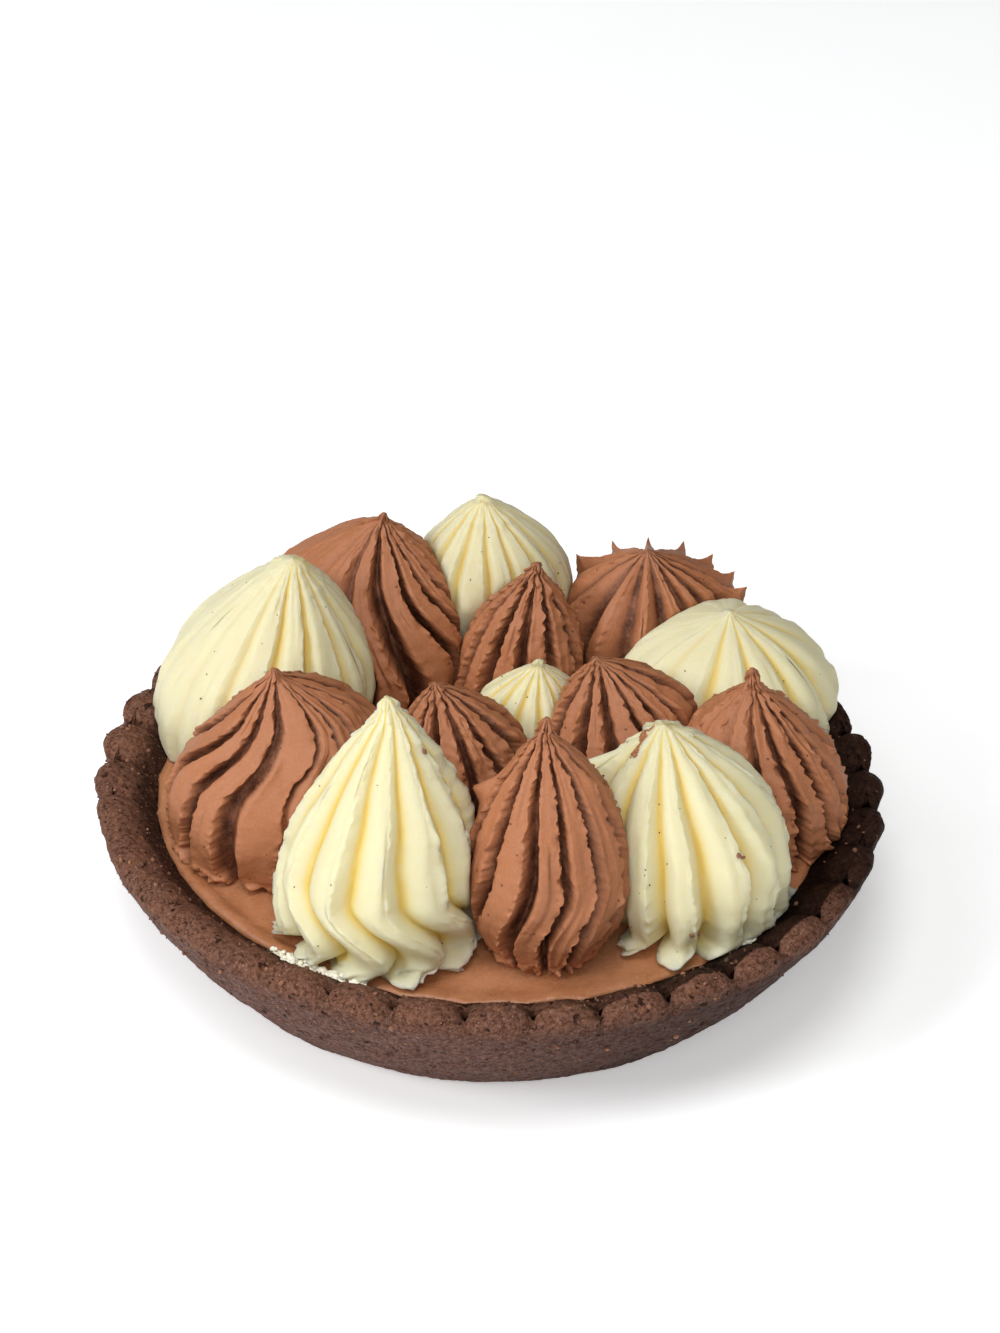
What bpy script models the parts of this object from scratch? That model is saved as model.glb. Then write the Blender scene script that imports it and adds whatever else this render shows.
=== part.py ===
"""An individual caramel tart: a fluted cocoa pastry case, a caramel filling and fourteen piped rosettes.

Ten rosettes of vanilla and caramel cream alternate round the edge, and four smaller ones fill the middle.
The tart stands on z = 0 with its centre on the Z axis, and its front faces -Y. Lengths are in metres.
"""

import math
from collections import namedtuple

import bmesh
import bpy
import numpy as np
from mathutils import noise

MM = 0.001

# Pastry case
RIM_RADIUS = 50.0 * MM
CASE_HEIGHT = 20.5 * MM
FOOT_RADIUS = 36.5 * MM
FLOOR_THICKNESS = 4.5 * MM
FLUTES = 36
FLUTE_SHIFT = math.radians(2.5)
FLUTE_DEPTH = 1.2 * MM
GROOVE_PULL = 0.13
STEPS_PER_FLUTE = 4
CRUST_RELIEF = 0.30 * MM

# Filling
FILLING_TOP = 16.5 * MM
FILLING_DIP = 0.5 * MM

# Pieces that touch keep this much air between their meshes
GAP = 0.3 * MM

# Rosettes
STEPS_PER_FIN = 2
ROSETTE_RINGS = 12
WIDEST_LEVEL = 0.24
TIP_SHARE = 0.05
FIN_UNEVENNESS = 0.09

# base and tip are (x, y) in millimetres, as are height and radius, and every angle is in degrees from the front
# towards +X. groove is the depth between two fins as a share of the radius. shoulder rounds the upper part: low is
# a cone, high a bulb. foot is how far the base draws in. sweep turns the fins from bend_level down to the base.
# bulge fills out the side that faces bulge_at, and plain is the share of the grooves that this side loses.
Rosette = namedtuple(
    "Rosette",
    "name cream base tip height radius fins phase groove shoulder foot sweep bend_level bulge bulge_at plain",
)

ROSETTES = (
    Rosette(
        "rosette_vanilla_1", "vanilla", base=(-13.2, -28), tip=(-12, -25.2), height=32, radius=13.0,
        fins=13, phase=0, groove=0.19, shoulder=1.5, foot=0.05, sweep=34, bend_level=0.36,
        bulge=0.05, bulge_at=80, plain=0,
    ),
    Rosette(
        "rosette_caramel_1", "caramel", base=(6.4, -27), tip=(6, -26), height=30.5, radius=10.1,
        fins=13, phase=5, groove=0.28, shoulder=1.95, foot=0.14, sweep=-28, bend_level=0.36,
        bulge=0.1, bulge_at=150, plain=0,
    ),
    Rosette(
        "rosette_vanilla_2", "vanilla", base=(25, -21.2), tip=(20.6, -17.3), height=25, radius=12.0,
        fins=12, phase=0, groove=0.19, shoulder=2.6, foot=0.08, sweep=-26, bend_level=0.5,
        bulge=0.06, bulge_at=90, plain=0,
    ),
    Rosette(
        "rosette_caramel_2", "caramel", base=(34.6, -4), tip=(32, -1.5), height=22.5, radius=11.2,
        fins=12, phase=0, groove=0.26, shoulder=2.0, foot=0.08, sweep=24, bend_level=0.7,
        bulge=0.06, bulge_at=-80, plain=0.8,
    ),
    Rosette(
        "rosette_vanilla_3", "vanilla", base=(30.7, 17.8), tip=(31.3, 15.3), height=17.3, radius=14.4,
        fins=13, phase=0, groove=0.17, shoulder=3.6, foot=0.06, sweep=24, bend_level=0.9,
        bulge=0.06, bulge_at=180, plain=0,
    ),
    Rosette(
        "rosette_caramel_3", "caramel", base=(21.2, 31.5), tip=(19.5, 29), height=18.6, radius=12.8,
        fins=13, phase=0, groove=0.3, shoulder=3.4, foot=0.08, sweep=-20, bend_level=0.8,
        bulge=0.08, bulge_at=150, plain=0,
    ),
    Rosette(
        "rosette_vanilla_4", "vanilla", base=(-0.8, 35.5), tip=(-2.3, 32.8), height=25.6, radius=11.5,
        fins=13, phase=0, groove=0.16, shoulder=2.3, foot=0.08, sweep=8, bend_level=0.6,
        bulge=0.05, bulge_at=90, plain=0,
    ),
    Rosette(
        "rosette_caramel_4", "caramel", base=(-19, 29.5), tip=(-15.5, 29.5), height=24.6, radius=13.0,
        fins=12, phase=0, groove=0.26, shoulder=1.9, foot=0.08, sweep=34, bend_level=0.85,
        bulge=0.09, bulge_at=-90, plain=0.85,
    ),
    Rosette(
        "rosette_vanilla_5", "vanilla", base=(-30.2, 13.2), tip=(-26.3, 15), height=26, radius=14.4,
        fins=13, phase=0, groove=0.16, shoulder=2.4, foot=0.05, sweep=8, bend_level=0.5,
        bulge=0.05, bulge_at=60, plain=0,
    ),
    Rosette(
        "rosette_caramel_5", "caramel", base=(-28, -9.8), tip=(-27.1, -8), height=24.3, radius=12.8,
        fins=11, phase=0, groove=0.24, shoulder=1.7, foot=0.1, sweep=-28, bend_level=0.7,
        bulge=0.27, bulge_at=105, plain=0,
    ),
    Rosette(
        "rosette_caramel_6", "caramel", base=(-3.6, -3.2), tip=(-7.4, -3.4), height=20, radius=9.0,
        fins=11, phase=0, groove=0.26, shoulder=2.0, foot=0.08, sweep=22, bend_level=0.6,
        bulge=0.15, bulge_at=100, plain=0,
    ),
    Rosette(
        "rosette_caramel_7", "caramel", base=(3, 21), tip=(5.1, 22.3), height=22, radius=8.6,
        fins=10, phase=0, groove=0.24, shoulder=2.2, foot=0.08, sweep=-14, bend_level=0.5,
        bulge=0, bulge_at=0, plain=0,
    ),
    Rosette(
        "rosette_caramel_8", "caramel", base=(15.8, 2.5), tip=(13, 3.5), height=20, radius=9.6,
        fins=12, phase=0, groove=0.24, shoulder=1.9, foot=0.08, sweep=26, bend_level=0.7,
        bulge=0.3, bulge_at=95, plain=0,
    ),
    Rosette(
        "rosette_vanilla_6", "vanilla", base=(4.8, 8.5), tip=(5.7, 6.9), height=17.2, radius=8.8,
        fins=11, phase=0, groove=0.2, shoulder=2.1, foot=0.06, sweep=10, bend_level=0.5,
        bulge=0, bulge_at=0, plain=0,
    ),
)

# Colours are linear RGB
COLOURS = {
    "pastry": (0.052, 0.026, 0.020),
    "filling": (0.40, 0.19, 0.105),
    "vanilla": (0.86, 0.79, 0.50),
    "caramel": (0.30, 0.125, 0.065),
}
ROUGHNESS = {"pastry": 0.8, "filling": 0.45, "vanilla": 0.5, "caramel": 0.55}


def clear_scene():
    for obj in list(bpy.data.objects):
        bpy.data.objects.remove(obj)


def make_material(name):
    material = bpy.data.materials.new(name)
    material.use_nodes = True
    shader = material.node_tree.nodes["Principled BSDF"]
    shader.inputs["Base Color"].default_value = (*COLOURS[name], 1)
    shader.inputs["Roughness"].default_value = ROUGHNESS[name]
    shader.inputs["Metallic"].default_value = 0
    return material


def add_object(name, bm, collection, material):
    bmesh.ops.recalc_face_normals(bm, faces=bm.faces)
    mesh = bpy.data.meshes.new(name)
    bm.to_mesh(mesh)
    bm.free()
    mesh.materials.append(material)
    mesh.shade_smooth()
    mesh.set_sharp_from_angle(angle=math.radians(50))
    obj = bpy.data.objects.new(name, mesh)
    collection.objects.link(obj)
    return obj


def turned(profile, steps):
    """A closed body turned about Z. The profile's first and last points lie on the axis."""
    bm = bmesh.new()
    points = [bm.verts.new((radius, 0, height)) for radius, height in profile]
    edges = [bm.edges.new(pair) for pair in zip(points, points[1:])]
    bmesh.ops.spin(
        bm, geom=points + edges, cent=(0, 0, 0), axis=(0, 0, 1), angle=math.tau, steps=steps, use_merge=True
    )
    bmesh.ops.remove_doubles(bm, verts=bm.verts, dist=0.01 * MM)
    return bm


def towards_grooves(angle):
    """Draws an evenly spaced angle closer to the nearest groove, so that few steps make broad flutes and narrow grooves."""
    phase = (angle + FLUTE_SHIFT) * FLUTES
    return angle - GROOVE_PULL * math.sin(phase) / FLUTES * math.tau


def flute(angle):
    """1 on the crown of a flute, falling steeply to 0 in the groove between two of them."""
    phase = (angle + FLUTE_SHIFT) * FLUTES / math.tau
    return abs(math.sin(math.pi * phase)) ** 0.3


def ease(value):
    value = min(max(value, 0.0), 1.0)
    return value * value * (3 - 2 * value)


# The wall's inner face, from the floor up to the rim, as (radius, height)
INNER_WALL = ((35.0 * MM, 4.5 * MM), (37.5 * MM, 5.6 * MM), (41.2 * MM, 11.0 * MM), (43.6 * MM, 17.0 * MM))
OUTER_WALL = (
    (FOOT_RADIUS, 0.0),
    (38.2 * MM, 1.0 * MM),
    (43.2 * MM, 6.8 * MM),
    (47.6 * MM, 13.4 * MM),
    (49.5 * MM, 17.4 * MM),
    (RIM_RADIUS, 19.2 * MM),
)
RIM = ((49.1 * MM, 20.3 * MM), (47.2 * MM, CASE_HEIGHT), (45.2 * MM, 19.6 * MM))


def make_case(collection, material):
    """The pastry case: a sloping wall that is plain below and fluted on its thick rim."""
    profile = [(0, 0), *OUTER_WALL, *RIM, *reversed(INNER_WALL), (0, FLOOR_THICKNESS)]
    bm = turned(profile, FLUTES * STEPS_PER_FLUTE)
    rim_middle = 47.2 * MM
    for vertex in bm.verts:
        x, y, z = vertex.co
        radius = math.hypot(x, y)
        if radius < 1 * MM or z < 0.5 * MM:
            continue
        angle = towards_grooves(math.atan2(x, -y))
        hollow = 1 - flute(angle)
        near_rim = ease((z - 14 * MM) / (4 * MM))
        outward = 1 if radius > rim_middle else -1
        outer_face = radius > 37.8 * MM + 0.6 * z
        radius -= near_rim * FLUTE_DEPTH * hollow * outward
        if outer_face:
            radius += CRUST_RELIEF * noise.noise((x / (5 * MM), y / (5 * MM), z / (5 * MM)))
        z -= 0.8 * FLUTE_DEPTH * hollow * ease((z - 18.5 * MM) / (1.5 * MM))
        vertex.co = (radius * math.sin(angle), -radius * math.cos(angle), z)
    return add_object("pastry_case", bm, collection, material)


def inner_radius(height):
    """The free radius inside the case at this height, at the crowns of the flutes."""
    radii = [radius for radius, _ in (*INNER_WALL, *reversed(RIM))]
    heights = [level for _, level in (*INNER_WALL, *reversed(RIM))]
    return np.interp(height, heights, radii, right=RIM_RADIUS)


def make_filling(collection, material):
    """The filling: it fits the case's inner face and dips a little towards the edge."""
    bottom = FLOOR_THICKNESS + GAP
    levels = (bottom, 5.9 * MM, 11.0 * MM)
    sides = [(inner_radius(level) - 1.3 * GAP, level) for level in levels[1:]]
    edge = inner_radius(FILLING_TOP) - 1.3 * GAP
    top = [(edge, FILLING_TOP - FILLING_DIP), (edge - 3 * MM, FILLING_TOP - 0.6 * FILLING_DIP), (30 * MM, FILLING_TOP)]
    profile = [(0, bottom), (34.6 * MM, bottom), *sides, *top, (0, FILLING_TOP)]
    return add_object("filling", turned(profile, 72), collection, material)


def outline(rosette, level, angle):
    """A rosette's crest radius at a level from 0, its base, to 1, its tip, and in one direction."""
    above = np.clip((level - WIDEST_LEVEL) / (1 - WIDEST_LEVEL), 0, 1)
    below = np.clip((WIDEST_LEVEL - level) / WIDEST_LEVEL, 0, 1)
    fuller = rosette.bulge * np.maximum(np.cos(angle - math.radians(rosette.bulge_at)), 0)
    share = 1 - (1 - TIP_SHARE) * above ** (rosette.shoulder * (1 + 4 * fuller)) - rosette.foot * below**2
    return rosette.radius * MM * (1 + fuller) * np.where(level > 1, 0, share)


def centre_line(rosette, level):
    base, tip = np.array(rosette.base), np.array(rosette.tip)
    lean = np.clip(level, 0, 1) ** 1.5
    return MM * (base + (tip - base) * lean[..., None])


def heading(angle):
    """Unit vectors at these angles, which run from the front towards +X."""
    return np.stack([np.sin(angle), -np.cos(angle)], -1)


def crest(phase):
    """1 on a fin's edge and 0 in the round groove halfway to the next."""
    return 1 - np.abs(np.sin(np.pi * phase))


def sweep(rosette, level):
    """How far the fins have turned at a level, in radians."""
    bend = np.clip((rosette.bend_level - level) / rosette.bend_level, 0, 1)
    return math.radians(rosette.sweep) * bend * bend * (3 - 2 * bend)


def base_height(rosette):
    return FILLING_TOP + GAP


def free_reach(rosette, level, angle):
    """How far a rosette may reach from its centre line before it meets a neighbour or the case."""
    height = base_height(rosette) + level * rosette.height * MM
    centre = centre_line(rosette, level)
    direction = heading(angle)
    wall = np.where(height < 22 * MM, inner_radius(np.minimum(height, 19 * MM)) - 1.5 * GAP, 49.4 * MM)
    along = (centre * direction).sum(-1)
    reach = -along + np.sqrt(np.maximum(along**2 - (centre**2).sum(-1) + wall**2, 0))
    for other in ROSETTES:
        if other is rosette:
            continue
        other_level = (height - base_height(other)) / (other.height * MM)
        between = centre_line(other, other_level) - centre
        towards = np.arctan2(between[:, 0], -between[:, 1])
        own_radius = outline(rosette, level, towards)
        other_radius = outline(other, other_level, towards + math.pi)
        distance = np.linalg.norm(between, axis=-1)
        facing = np.cos(angle - towards)
        share = own_radius / np.maximum(own_radius + other_radius, 1e-9)
        limit = (share * distance - GAP / 2) / np.maximum(facing, 1e-3)
        reach = np.where((facing > 1e-3) & (other_radius > 0), np.minimum(reach, limit), reach)
    return reach


def make_rosette(rosette, collection, material):
    """A piped rosette: a ball whose rings become star-shaped sections between the base and the tip."""
    around = rosette.fins * STEPS_PER_FIN
    bm = bmesh.new()
    bmesh.ops.create_uvsphere(bm, u_segments=around, v_segments=ROSETTE_RINGS, radius=1)
    ball = np.array([vertex.co for vertex in bm.verts])
    ring = np.round(np.arccos(np.clip(-ball[:, 2], -1, 1)) / math.pi * ROSETTE_RINGS)
    turn = np.arctan2(ball[:, 0], -ball[:, 1])
    level = np.clip((ring - 1) / (ROSETTE_RINGS - 1), 0, 1)
    angle = turn + math.radians(rosette.phase) + sweep(rosette, level)
    plain = rosette.plain * np.maximum(np.cos(angle - math.radians(rosette.bulge_at)), 0)
    depth = rosette.groove * (1 - plain) * (1 - crest(turn * rosette.fins / math.tau))
    spots = zip(turn * rosette.fins / math.tau, level * 2.5)
    uneven = 1 + FIN_UNEVENNESS * np.array([noise.noise((*spot, *rosette.base[:1])) for spot in spots])
    reach = outline(rosette, level, angle) * (1 - depth) * uneven
    radius = np.minimum(reach, free_reach(rosette, level, angle))
    radius = np.where((ring == 0) | (ring == ROSETTE_RINGS), 0, radius)
    place = centre_line(rosette, level) + heading(angle) * radius[:, None]
    height = base_height(rosette) + level * rosette.height * MM
    for vertex, (x, y), z in zip(bm.verts, place, height):
        vertex.co = (x, y, z)
    return add_object(rosette.name, bm, collection, material)


def main():
    clear_scene()
    collection = bpy.data.collections.new("caramel_tart")
    bpy.context.scene.collection.children.link(collection)
    materials = {name: make_material(name) for name in COLOURS}
    make_case(collection, materials["pastry"])
    make_filling(collection, materials["filling"])
    for rosette in ROSETTES:
        make_rosette(rosette, collection, materials[rosette.cream])


main()
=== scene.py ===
import math
import random
from collections import namedtuple

import bmesh
import bpy
import numpy as np
from mathutils import Matrix, Vector, noise


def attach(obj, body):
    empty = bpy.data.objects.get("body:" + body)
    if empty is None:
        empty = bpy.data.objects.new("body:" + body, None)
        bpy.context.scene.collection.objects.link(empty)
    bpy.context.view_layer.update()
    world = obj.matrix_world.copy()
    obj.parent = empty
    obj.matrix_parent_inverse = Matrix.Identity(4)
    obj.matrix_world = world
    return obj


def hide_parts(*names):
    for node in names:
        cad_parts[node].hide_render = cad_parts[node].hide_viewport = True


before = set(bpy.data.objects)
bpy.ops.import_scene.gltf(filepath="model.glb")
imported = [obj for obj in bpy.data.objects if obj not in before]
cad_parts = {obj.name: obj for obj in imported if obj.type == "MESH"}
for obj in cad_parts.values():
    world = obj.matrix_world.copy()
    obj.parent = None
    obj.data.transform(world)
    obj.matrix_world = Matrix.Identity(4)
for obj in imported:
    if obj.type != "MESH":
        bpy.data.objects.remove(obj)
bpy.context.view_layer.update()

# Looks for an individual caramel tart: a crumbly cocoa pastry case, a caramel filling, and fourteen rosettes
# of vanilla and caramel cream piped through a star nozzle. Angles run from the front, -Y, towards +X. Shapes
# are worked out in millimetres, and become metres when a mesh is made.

MM = 0.001

# ---------------------------------------------------------------- camera

PHOTO_HEIGHT_PIXELS = 1333
FOCAL_PIXELS = 4142
SENSOR_MM = 36
CAMERA_ELEVATION = math.radians(33.4)
CAMERA_ROLL = math.radians(2.0)
CAMERA_DISTANCE = 0.520
CAMERA_TARGET = Vector((0.0007, 0, 0.0369))


def make_camera():
    back = Vector((0, -math.cos(CAMERA_ELEVATION), math.sin(CAMERA_ELEVATION)))
    level_right = Vector((1, 0, 0))
    level_up = level_right.cross(-back)
    right = level_right * math.cos(CAMERA_ROLL) + level_up * math.sin(CAMERA_ROLL)
    up = level_up * math.cos(CAMERA_ROLL) - level_right * math.sin(CAMERA_ROLL)
    data = bpy.data.cameras.new("camera")
    data.sensor_width = SENSOR_MM
    data.lens = FOCAL_PIXELS * SENSOR_MM / PHOTO_HEIGHT_PIXELS
    data.clip_start = 0.01
    camera = bpy.data.objects.new("camera", data)
    turn = Matrix((right, up, back)).transposed()
    camera.matrix_world = Matrix.Translation(CAMERA_TARGET + CAMERA_DISTANCE * back) @ turn.to_4x4()
    bpy.context.scene.collection.objects.link(camera)
    bpy.context.scene.camera = camera


# ---------------------------------------------------------------- lights and floor

LIGHT_DISTANCE = 1.0
LIGHT_TARGET = Vector((0, 0, 0.02))
# Each light's name, azimuth and elevation in degrees, size in metres, watts and tint.
LIGHTS = (
    ("key", -60, 34, 0.34, 4.3, (0.94, 0.97, 1.0)),
    ("overhead", -20, 74, 0.5, 4.1, (1, 1, 1)),
    ("left", -95, 50, 0.5, 1.7, (0.95, 0.98, 1.0)),
    ("front", 2, 36, 0.5, 2.7, (1, 1, 1)),
    ("right", 40, 62, 0.6, 0.7, (1, 0.98, 0.94)),
)
WORLD_STRENGTH = 0.03
FLOOR_HALF_WIDTH = 3


def make_area_light(name, azimuth, elevation, size, watts, tint):
    """A round soft box that faces the tart's middle."""
    data = bpy.data.lights.new(name, "AREA")
    data.shape = "DISK"
    data.size = size
    data.energy = watts
    data.color = tint
    azimuth, elevation = math.radians(azimuth), math.radians(elevation)
    level = math.cos(elevation)
    towards = Vector((math.sin(azimuth) * level, -math.cos(azimuth) * level, math.sin(elevation)))
    light = bpy.data.objects.new(name, data)
    light.location = LIGHT_TARGET + LIGHT_DISTANCE * towards
    light.rotation_euler = towards.to_track_quat("Z", "Y").to_euler()
    bpy.context.scene.collection.objects.link(light)


def make_lights():
    for light in LIGHTS:
        make_area_light(*light)
    world = bpy.data.worlds.new("studio")
    world.use_nodes = True
    background = world.node_tree.nodes["Background"]
    background.inputs["Color"].default_value = (1, 1, 1, 1)
    background.inputs["Strength"].default_value = WORLD_STRENGTH
    bpy.context.scene.world = world
    bpy.context.scene.view_settings.view_transform = "Standard"


def make_floor():
    bm = bmesh.new()
    bmesh.ops.create_grid(bm, x_segments=8, y_segments=8, size=FLOOR_HALF_WIDTH)
    floor = object_from_bmesh("floor", bm, floor_material())


# ---------------------------------------------------------------- materials


def new_material(name, **constants):
    """A material, its node tree and its shader, with constant values set on the shader's own sockets."""
    material = bpy.data.materials.new(name)
    material.use_nodes = True
    shader = material.node_tree.nodes["Principled BSDF"]
    for socket, value in constants.items():
        shader.inputs[socket.replace("_", " ")].default_value = value
    return material, material.node_tree, shader


def add_node(tree, kind, settings=None, **inputs):
    """Adds a node. An input that is a socket is linked, and any other is set."""
    node = tree.nodes.new(kind)
    for key, value in (settings or {}).items():
        setattr(node, key, value)
    for key, value in inputs.items():
        socket = node.inputs[key.replace("_", " ")]
        if isinstance(value, bpy.types.NodeSocket):
            tree.links.new(value, socket)
        else:
            socket.default_value = value
    return node


def add_noise(tree, size_mm, detail=3, roughness=0.55):
    """Noise over the object, with features of this size."""
    place = add_node(tree, "ShaderNodeTexCoord").outputs["Object"]
    return add_node(
        tree, "ShaderNodeTexNoise", Vector=place, Scale=1 / (size_mm * MM), Detail=detail, Roughness=roughness
    ).outputs["Fac"]


def add_dots(tree, size_mm):
    """The distance to the nearest of many scattered points, as a share of their spacing."""
    place = add_node(tree, "ShaderNodeTexCoord").outputs["Object"]
    cells = add_node(tree, "ShaderNodeTexVoronoi", Vector=place, Scale=1 / (size_mm * MM))
    return cells.outputs["Distance"]


def add_range(tree, value, low, high, to_low=0.0, to_high=1.0):
    """A smooth step from to_low, where the value is low, to to_high, where it is high."""
    settings = {"interpolation_type": "SMOOTHSTEP"}
    node = add_node(tree, "ShaderNodeMapRange", settings, Value=value)
    for key, number in (("From Min", low), ("From Max", high), ("To Min", to_low), ("To Max", to_high)):
        node.inputs[key].default_value = number
    return node.outputs["Result"]


def add_mix(tree, share, first, second, blend="MIX"):
    settings = {"blend_type": blend}
    node = add_node(tree, "ShaderNodeMixRGB", settings, Fac=share, Color1=first, Color2=second)
    return node.outputs["Color"]


def add_math(tree, operation, first, second):
    node = add_node(tree, "ShaderNodeMath", {"operation": operation})
    for socket, value in zip(node.inputs, (first, second)):
        if isinstance(value, bpy.types.NodeSocket):
            tree.links.new(value, socket)
        else:
            socket.default_value = value
    return node.outputs["Value"]


def add_scaled(tree, value, scale):
    return add_math(tree, "MULTIPLY", value, scale)


def add_flecks(tree, base, mask, opacity, fleck):
    """The base colour, with another laid over it where the mask is 1."""
    return add_mix(tree, add_scaled(tree, mask, opacity), base, fleck)


def add_patches(tree, base, noise_fac, low, high, opacity, patch):
    """The base colour, partly mixed with another where this noise is high."""
    where = add_range(tree, noise_fac, low, high)
    return add_mix(tree, where, base, add_mix(tree, opacity, base, patch))


def add_attribute(tree, name):
    return add_node(tree, "ShaderNodeAttribute", {"attribute_name": name}).outputs["Fac"]


def add_bump(tree, shader, height, depth_mm):
    bump = add_node(tree, "ShaderNodeBump", Height=height, Distance=depth_mm * MM, Strength=1.0)
    tree.links.new(bump.outputs["Normal"], shader.inputs["Normal"])


def colour(red, green, blue):
    return (red, green, blue, 1)


def floor_material():
    """White backlit paper."""
    material, tree, shader = new_material("floor_paper", Roughness=0.9, Emission_Strength=0.34)
    shader.inputs["Emission Color"].default_value = colour(1, 1, 1)
    tone = add_range(tree, add_noise(tree, 60), 0.3, 0.7)
    paper = add_mix(tree, tone, colour(0.95, 0.95, 0.95), colour(0.97, 0.97, 0.97))
    tree.links.new(paper, shader.inputs["Base Color"])
    return material


def vanilla_material():
    """Whipped vanilla cream: pale on the fins, with a painted warm yellow shade in the grooves."""
    material, tree, shader = new_material(
        "vanilla_cream", Roughness=0.55, Subsurface_Weight=0.6, Subsurface_Radius=(1.0, 0.8, 0.35),
        Subsurface_Scale=0.004, Specular_IOR_Level=0.4,
    )
    # Painted shade: the grooves are darker and yellower, standing for their shade and the light bounced
    # inside them.
    groove = add_range(tree, add_attribute(tree, "groove"), 0.05, 0.9)
    cream = add_mix(tree, groove, colour(0.76, 0.70, 0.455), colour(0.77, 0.57, 0.12))
    cream = add_patches(tree, cream, add_noise(tree, 4.0), 0.42, 0.72, 0.35, colour(0.76, 0.68, 0.38))
    tree.links.new(cream, shader.inputs["Base Color"])
    relief = add_math(tree, "ADD", add_noise(tree, 0.9), add_noise(tree, 0.25))
    add_bump(tree, shader, relief, 0.06)
    return material


def caramel_material():
    """Whipped caramel cream: milky brown, a little grainy, with painted shade in its pin-prick bubbles and
    grooves.
    """
    material, tree, shader = new_material(
        "caramel_cream", Roughness=0.52, Subsurface_Weight=0.12, Subsurface_Radius=(1.0, 0.4, 0.2),
        Subsurface_Scale=0.0015, Specular_IOR_Level=0.3,
    )
    # Painted shade: the grooves are darkened nearly to black where the groove attribute is high.
    groove = add_range(tree, add_attribute(tree, "groove"), 0.05, 0.54)
    cream = add_mix(tree, groove, colour(0.42, 0.158, 0.066), colour(0.058, 0.013, 0.004))
    cream = add_patches(tree, cream, add_noise(tree, 2.2), 0.35, 0.7, 0.4, colour(0.43, 0.175, 0.088))
    pale_grain = add_range(tree, add_noise(tree, 0.35), 0.35, 0.75)
    cream = add_flecks(tree, cream, pale_grain, 0.15, colour(0.60, 0.30, 0.18))
    # Painted shade: pin-prick bubbles are dented in the bump and painted dark inside.
    shaded_bubble = add_range(tree, add_dots(tree, 2.4), 0.05, 0.085, 1, 0)
    cream = add_flecks(tree, cream, shaded_bubble, 0.7, colour(0.09, 0.03, 0.015))
    tree.links.new(cream, shader.inputs["Base Color"])
    relief = add_math(tree, "ADD", add_noise(tree, 0.8), add_scaled(tree, add_noise(tree, 0.3), 0.8))
    relief = add_math(tree, "SUBTRACT", relief, shaded_bubble)
    add_bump(tree, shader, relief, 0.06)
    return material


def filling_material():
    """Set caramel: smooth, with a soft sheen and faint paler streaks."""
    material, tree, shader = new_material(
        "caramel_filling", Roughness=0.34, Subsurface_Weight=0.1, Subsurface_Radius=(1.0, 0.4, 0.2),
        Subsurface_Scale=0.0015,
    )
    patches = add_range(tree, add_noise(tree, 5.0), 0.35, 0.68)
    filling = add_mix(tree, patches, colour(0.36, 0.138, 0.056), colour(0.45, 0.19, 0.088))
    pale_grain = add_range(tree, add_noise(tree, 0.5), 0.4, 0.75)
    filling = add_flecks(tree, filling, pale_grain, 0.25, colour(0.56, 0.28, 0.16))
    tree.links.new(filling, shader.inputs["Base Color"])
    relief = add_math(tree, "ADD", add_noise(tree, 1.6), add_scaled(tree, add_noise(tree, 0.4), 0.4))
    add_bump(tree, shader, relief, 0.10)
    roughness = add_range(tree, add_noise(tree, 2.0), 0.3, 0.7, 0.26, 0.46)
    tree.links.new(roughness, shader.inputs["Roughness"])
    return material


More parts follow.
